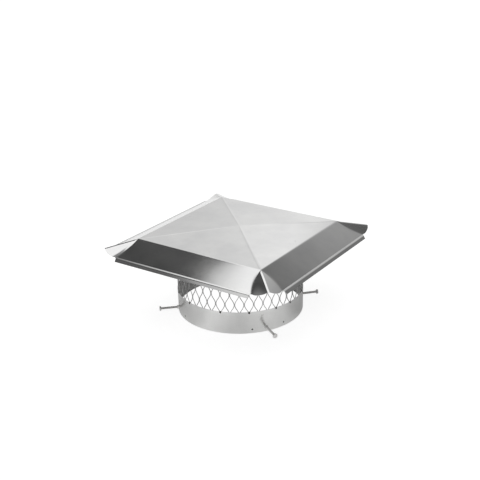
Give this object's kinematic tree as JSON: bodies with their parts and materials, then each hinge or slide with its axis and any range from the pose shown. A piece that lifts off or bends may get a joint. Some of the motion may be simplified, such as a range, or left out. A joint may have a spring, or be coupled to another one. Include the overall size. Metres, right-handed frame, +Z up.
{
  "type": "chimney cap",
  "caption": "Round bolt-on chimney cap: a square folded hood with pinched corners over a round expanded-metal mesh and a rolled collar with clamp bolts.",
  "frame": {"origin": "centre of the collar's bottom edge", "axes": "+Z up along the flue, hood sides along X and Y, front bolt towards +X and -Y"},
  "size_m": [0.5068, 0.5068, 0.2175],
  "materials": {
    "hood_sheet": "bright mill-finish stainless sheet",
    "collar_band": "satin mill-finish stainless sheet",
    "expanded_mesh": "plain stainless expanded metal",
    "clamp_bolts": "plain stainless bolts"
  },
  "bodies": {
    "cap": {"hood": "hood_sheet", "mesh": "expanded_mesh", "collar": "collar_band"},
    "front_bolt": {"clamp_bolt_front": "clamp_bolts"},
    "right_bolt": {"clamp_bolt_right": "clamp_bolts"},
    "back_bolt": {"clamp_bolt_back": "clamp_bolts"},
    "left_bolt": {"clamp_bolt_left": "clamp_bolts"}
  },
  "joints": [
    {"name": "front_bolt_travel", "type": "slide", "parent": "cap", "child": "front_bolt", "axis": [-0.8387, 0.5446, 0], "range_m": [-0.0005, 0.0415]},
    {"name": "right_bolt_travel", "type": "slide", "parent": "cap", "child": "right_bolt", "axis": [-0.6756, -0.7373, 0], "range_m": [-0.003, 0.039]},
    {"name": "back_bolt_travel", "type": "slide", "parent": "cap", "child": "back_bolt", "axis": [0.788, -0.6157, 0], "range_m": [-0.002, 0.04]},
    {"name": "left_bolt_travel", "type": "slide", "parent": "cap", "child": "left_bolt", "axis": [0.7193, 0.6947, 0], "range_m": [-0.0015, 0.0405]}
  ]
}
